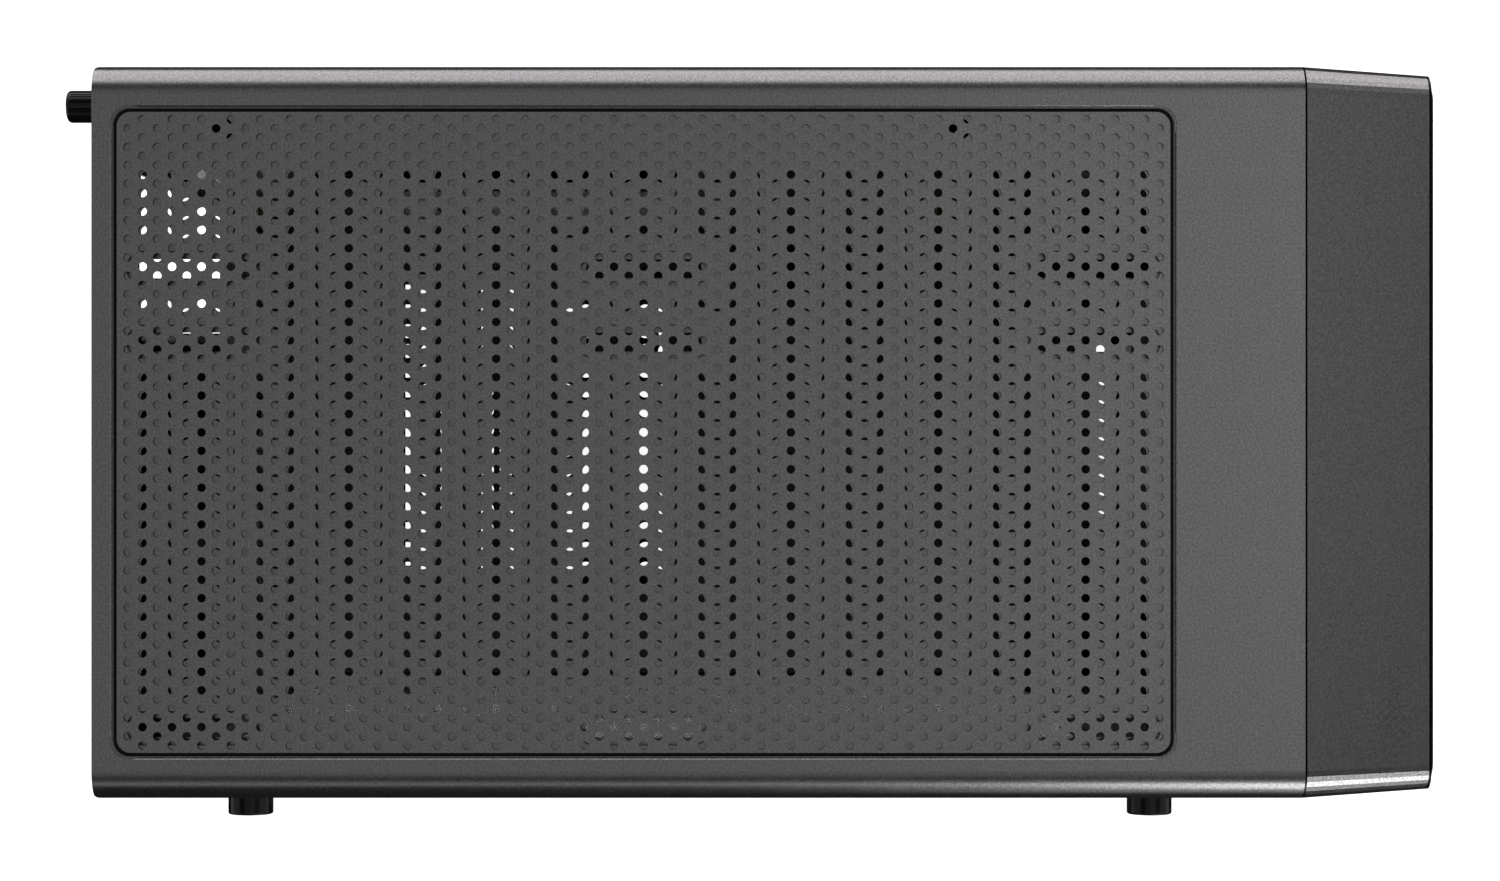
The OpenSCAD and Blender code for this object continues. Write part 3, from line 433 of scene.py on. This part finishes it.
def paint_shade_and_rim():
    """Paints shade black into the seam between cover and front and into the filter's groove, and
    blackens the front's rim.
    """
    # painted shade at the cover's front end, where it meets the front, and in its filter groove
    dark_edges("gray_paint", NODES["top_cover"], SEAM_SHADE, 0.0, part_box("dust_filter"))
    # painted shade at the shell's rear end, where it meets the cover; a black band at its front
    # rim
    dark_edges("gray_shell", NODES["front_shell"], FRONT_DARK, SEAM_SHADE)


def paint_nodes():
    """Gives every CAD node the material of its slot."""
    for part in frame["record"]["subparts"]:
        node = NODES[part["node"]]
        for place in node.material_slots:
            place.material = MATERIALS[part["material_slot"]]


# The filter sheet with every hole of the real one

FILTER_COLUMNS = 71
FILTER_PITCH_Y = 4 * MM
FILTER_PITCH_X = 5 * MM
FILTER_HOLES = 35
FILTER_HOLE_R = 1.2 * MM


def filter_sheet():
    """The perforated sheet, whose odd columns are half a pitch off and one hole shorter."""
    low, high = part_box("dust_filter")
    middle = (low + high) / 2
    holes = []
    for i in range(FILTER_COLUMNS):
        column = i - FILTER_COLUMNS // 2
        count = FILTER_HOLES - column % 2
        for j in range(count):
            holes.append(circle(middle.x + (j - (count - 1) / 2) * FILTER_PITCH_X,
                                middle.y + column * FILTER_PITCH_Y, FILTER_HOLE_R))
    outer = round_rect(middle.x, middle.y, high.x - low.x, high.y - low.y, FILTER_CORNER)
    piece("filter_sheet", [cut_sheet(outer, holes, low.z, high.z)], MATERIALS["gray_paint"],
          "dust_filter_unit", ["dust_filter"])


# The roof under the filter, with its true grid, stamped cups and folded sides

SHEET = 0.8 * MM
VENT_PITCH = 5 * MM
VENT_COLUMNS = 55
VENT_ROWS = 30
VENT_HOLE_R = 1.7 * MM
VENT_SHIFT_X = -3 * MM
CUP_XS = [-80.4 * MM, 24.6 * MM, 44.6 * MM]
CUP_PITCH = 122.4 * MM
CUP_SIZE = (9.4 * MM, 36.5 * MM)
CUP_SLOT = (5.2 * MM, 31.6 * MM)
CUP_DEEP = 2.4 * MM
CUP_MARGIN = 2.6 * MM
LOCATING_X = 82.5 * MM
LOCATING_YS = [114.4 * MM, -85.8 * MM]
LOCATING_R = 3 * MM
ALMOST_ROUND = 1e-5  # keeps the corners of a cup's outline apart
LEFT_FOLD_R = 5 * MM
RIGHT_FOLD_R = 2 * MM
NOTCH_LONG = 18 * MM
NOTCH_LOW = 4 * MM
RAIL_HIGH = 18 * MM
HOOK_US = [60 * MM, 165 * MM, 270 * MM]
HOOK_START = 1 * MM  # how far behind the rear panel the hooks' places are counted from
HOOK_HALF = 5.3 * MM
HOOK_TRAVEL = 15 * MM
WINDOW_BELOW = 5.8 * MM
WINDOW_ABOVE = 1 * MM
ROOF_SCREWS = (3, 4)  # the glass screws that go into the roof's fold
BOSS_LONG = 4 * MM
BOSS_R = 4 * MM
BOSS_BORE_R = 2.1 * MM


def fold_profile(x, top, radius, low, side):
    """Section of a bent edge: a quarter bend and a leg down to low; side is -1 on the left."""
    steps = 8

    def bend(r):
        return [(x - side * radius + side * r * math.cos(math.pi / 2 * k / steps),
                 top - radius + r * math.sin(math.pi / 2 * k / steps)) for k in range(steps + 1)]

    return [(x, low)] + bend(radius) + bend(radius - SHEET)[::-1] + [(x - side * SHEET, low)]


def roof_flat():
    """Solids of the roof's flat sheet and its cups."""
    low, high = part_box("top_panel")
    filter_low, filter_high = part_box("dust_filter")
    middle = (filter_low + filter_high) / 2
    cover_low, cover_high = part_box("top_cover")
    cover_x = (cover_low.x + cover_high.x) / 2
    cups = [(cover_x + x, middle.y + k * CUP_PITCH) for x in CUP_XS for k in (-1, 0, 1)]
    holes = [round_rect(x, y, *CUP_SIZE, CUP_SIZE[0] / 2 - ALMOST_ROUND) for x, y in cups]
    holes += [circle(cover_x + LOCATING_X, middle.y + y, LOCATING_R, steps=24)
              for y in LOCATING_YS]
    for i in range(VENT_COLUMNS):
        for j in range(VENT_ROWS):
            x = cover_x + VENT_SHIFT_X + (j - (VENT_ROWS - 1) / 2) * VENT_PITCH
            y = middle.y + (i - (VENT_COLUMNS - 1) / 2) * VENT_PITCH
            if not any(abs(x - cx) < CUP_SIZE[0] / 2 + CUP_MARGIN and
                       abs(y - cy) < CUP_SIZE[1] / 2 + CUP_MARGIN for cx, cy in cups):
                holes.append(circle(x, y, VENT_HOLE_R))
    flat_low = high.z - SHEET
    outer = box_outline(low.x + LEFT_FOLD_R, low.y, high.x - RIGHT_FOLD_R, high.y)
    solids = [cut_sheet(outer, holes, flat_low, high.z)]
    for x, y in cups:
        rim = slot_outline(x, y, CUP_SIZE[0] + 2 * SHEET, CUP_SIZE[1] + 2 * SHEET)
        floor_z = flat_low - CUP_DEEP
        solids.append(cut_sheet(rim, [slot_outline(x, y, *CUP_SLOT)], floor_z, floor_z + SHEET))
        solids.append(cut_sheet(rim, [slot_outline(x, y, *CUP_SIZE)], floor_z + SHEET, flat_low))
    return solids


def hook_rail(high, y0, y1):
    """The right fold's leg, with a window for each hook of the steel side to slide in."""
    rear_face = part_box("rear_panel")[1].y
    door_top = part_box("side_panel")[1].z
    windows = []
    for u in HOOK_US:
        hook_y = rear_face + HOOK_START - u
        windows.append(box_outline(hook_y - HOOK_HALF, door_top - WINDOW_BELOW,
                                   hook_y + HOOK_HALF + HOOK_TRAVEL, door_top + WINDOW_ABOVE))
    rail = box_outline(y0, door_top - RAIL_HIGH, y1 - NOTCH_LONG, high.z - NOTCH_LOW)
    return cut_sheet(rail, windows, high.x - SHEET, high.x, sideways)


def roof_panel():
    """The whole roof: flat sheet, cups, both folds and the bosses of the glass screws."""
    low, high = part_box("top_panel")
    y0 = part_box("front_frame")[0].y + SHEET
    y1 = high.y - SHEET
    left = fold_profile(low.x, high.z, LEFT_FOLD_R, low.z, -1)
    right = fold_profile(high.x, high.z, RIGHT_FOLD_R, high.z - NOTCH_LOW, 1)
    solids = roof_flat() + [run_along_y(left, y0, y1), run_along_y(right, y0, y1)]
    solids.append(hook_rail(high, y0, y1))
    boss_x = low.x + SHEET
    for i in ROOF_SCREWS:
        screw_low, screw_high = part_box(f"glass_screw_{i}")
        centre = (screw_low + screw_high) / 2
        solids.append(ring_x(boss_x, boss_x + BOSS_LONG, centre.y, centre.z, BOSS_R, BOSS_BORE_R))
    piece("roof_panel", solids, MATERIALS["gray_paint"], "chassis", ["top_panel"])


# Stage, camera and lamps

CAMERA_AT = (0.95 * MM, -1.25 * MM, 1.430)
CAMERA_LENS = 84.0
SENSOR_WIDTH = 36.0
FLOOR_SIZE = 12.0
FLOOR_COLOUR = (0.8, 0.8, 0.8)
FLOOR_WHITE = 0.90
CEILING = 0.66
DARK_RING = 0.06
HORIZON_TOP = 34  # degrees of elevation
RING_BOTTOM = 44
RING_TOP = 60
CEILING_BOTTOM = 70
CARD_BLACK = (0.004, 0.004, 0.004)
CARD_LOW = 0.004
CARD_HALF = 1.2
WALL_CARD_X = -1.1
WALL_CARD_FRONT = -0.12
WALL_CARD_REAR = 1.6
WALL_CARD_TOP = 0.92


def seen_directly(tree):
    """Two masks: camera and transmission rays, and those with glossy rays too."""
    path = tree.nodes.new("ShaderNodeLightPath").outputs
    eye = math_node(tree, "MAXIMUM", path["Is Camera Ray"], path["Is Transmission Ray"])
    return eye, math_node(tree, "MAXIMUM", eye, path["Is Glossy Ray"])


def white_floor():
    """A pale floor that is white where lamps reach it and a little darker in shadow."""
    material = new_material("stage_floor", FLOOR_COLOUR, 1.0, Specular_IOR_Level=0.0)
    tree = material.node_tree
    shader = tree.nodes["Principled BSDF"]
    glow = tree.nodes.new("ShaderNodeEmission")
    add = tree.nodes.new("ShaderNodeAddShader")
    strength = math_node(tree, "MULTIPLY", seen_directly(tree)[1], FLOOR_WHITE)
    tree.links.new(strength, glow.inputs["Strength"])
    tree.links.new(shader.outputs["BSDF"], add.inputs[0])
    tree.links.new(glow.outputs["Emission"], add.inputs[1])
    tree.links.new(add.outputs["Shader"], tree.nodes["Material Output"].inputs["Surface"])
    mesh = bpy.data.meshes.new("floor")
    s = FLOOR_SIZE / 2
    mesh.from_pydata([(-s, -s, 0), (s, -s, 0), (s, s, 0), (-s, s, 0)], [], [(0, 1, 2, 3)])
    mesh.materials.append(material)
    floor = add_object("floor", mesh)


def studio_world():
    """White to the camera; to other rays, a white horizon, a dark ring and a pale ceiling."""
    world = bpy.data.worlds.new("studio")
    bpy.context.scene.world = world
    world.use_nodes = True
    tree = world.node_tree
    shader = tree.nodes["Background"]
    shader.inputs["Color"].default_value = (1, 1, 1, 1)
    direction = tree.nodes.new("ShaderNodeTexCoord")
    split = tree.nodes.new("ShaderNodeSeparateXYZ")
    tree.links.new(direction.outputs["Generated"], split.inputs["Vector"])
    ring = tree.nodes.new("ShaderNodeValToRGB")
    steps = ring.color_ramp.elements
    steps[0].position = math.sin(math.radians(HORIZON_TOP))
    steps[0].color = (1, 1, 1, 1)
    steps[1].position = math.sin(math.radians(CEILING_BOTTOM))
    steps[1].color = (CEILING, CEILING, CEILING, 1)
    for degrees in (RING_BOTTOM, RING_TOP):
        step = steps.new(math.sin(math.radians(degrees)))
        step.color = (DARK_RING, DARK_RING, DARK_RING, 1)
    tree.links.new(split.outputs["Z"], ring.inputs["Fac"])
    for_eye = tree.nodes.new("ShaderNodeMix")
    for_eye.inputs["B"].default_value = 1.0
    tree.links.new(seen_directly(tree)[0], for_eye.inputs["Factor"])
    tree.links.new(ring.outputs["Color"], for_eye.inputs["A"])
    tree.links.new(for_eye.outputs["Result"], shader.inputs["Strength"])


def black_card(name, corners):
    """A black studio card: gloss and bounced light see it, and nothing else does."""
    material = bpy.data.materials.get("stage_card")
    if not material:
        material = new_material("stage_card", CARD_BLACK, 1.0, Specular_IOR_Level=0.0)
    mesh = bpy.data.meshes.new(name)
    mesh.from_pydata(corners, [], [(0, 1, 2, 3)])
    mesh.materials.append(material)
    card = add_object(name, mesh)
    card.visible_camera = False
    card.visible_transmission = False
    card.visible_shadow = False


def floor_card(name, x0, x1):
    """A card that lies just over the floor."""
    outline = box_outline(x0, -CARD_HALF, x1, CARD_HALF)
    black_card(name, [upright(x, y, CARD_LOW) for x, y in outline])


def cards():
    """Cards on the floor beside the case, and one that stands off its glass side."""
    floor_card("card_floor_tray_side", x0=0.14, x1=1.05)
    floor_card("card_floor_glass_side", x0=-2.3, x1=-0.14)
    outline = box_outline(WALL_CARD_FRONT, CARD_LOW, WALL_CARD_REAR, WALL_CARD_TOP)
    black_card("card_glass_side", [sideways(y, z, WALL_CARD_X) for y, z in outline])


def soft_lamp(name, at, look_at, size, radiance, colour=(1, 1, 1)):
    """A rectangular lamp whose surface has that radiance."""
    data = bpy.data.lights.new(name, "AREA")
    data.shape = "RECTANGLE"
    data.size, data.size_y = size
    data.energy = radiance * math.pi * size[0] * size[1]
    data.color = colour
    lamp = add_object(name, data)
    lamp.location = at
    aim = Vector(look_at) - Vector(at)
    lamp.rotation_euler = aim.to_track_quat("-Z", "Y").to_euler()
    lamp.visible_camera = False


def lamps():
    """One lamp over the front, and one beside each long edge of the cover."""
    soft_lamp("overhead", at=(0.45, -1.04, 2.6), look_at=(0.45, -1.04, 0),
              size=(1.6, 1.64), radiance=0.58)
    soft_lamp("tray_side", at=(1.1, 0.05, 0.625), look_at=(0, 0.05, 0.625),
              size=(1.9, 1.21), radiance=2.7, colour=(1, 0.935, 0.985))
    soft_lamp("glass_side_front", at=(-0.83, -0.51, 0.81), look_at=(-0.1, -0.122, 0.48),
              size=(0.66, 0.46), radiance=8)


def camera():
    """Looks straight down, with the case's front to the right."""
    data = bpy.data.cameras.new("camera")
    data.lens = CAMERA_LENS
    data.sensor_width = SENSOR_WIDTH
    eye = add_object("camera", data)
    eye.location = CAMERA_AT
    eye.rotation_euler = (0, 0, -math.pi / 2)
    bpy.context.scene.camera = eye


bpy.context.scene.view_settings.view_transform = "Standard"
paint_nodes()
paint_shade_and_rim()
filter_sheet()
roof_panel()
white_floor()
studio_world()
cards()
lamps()
camera()
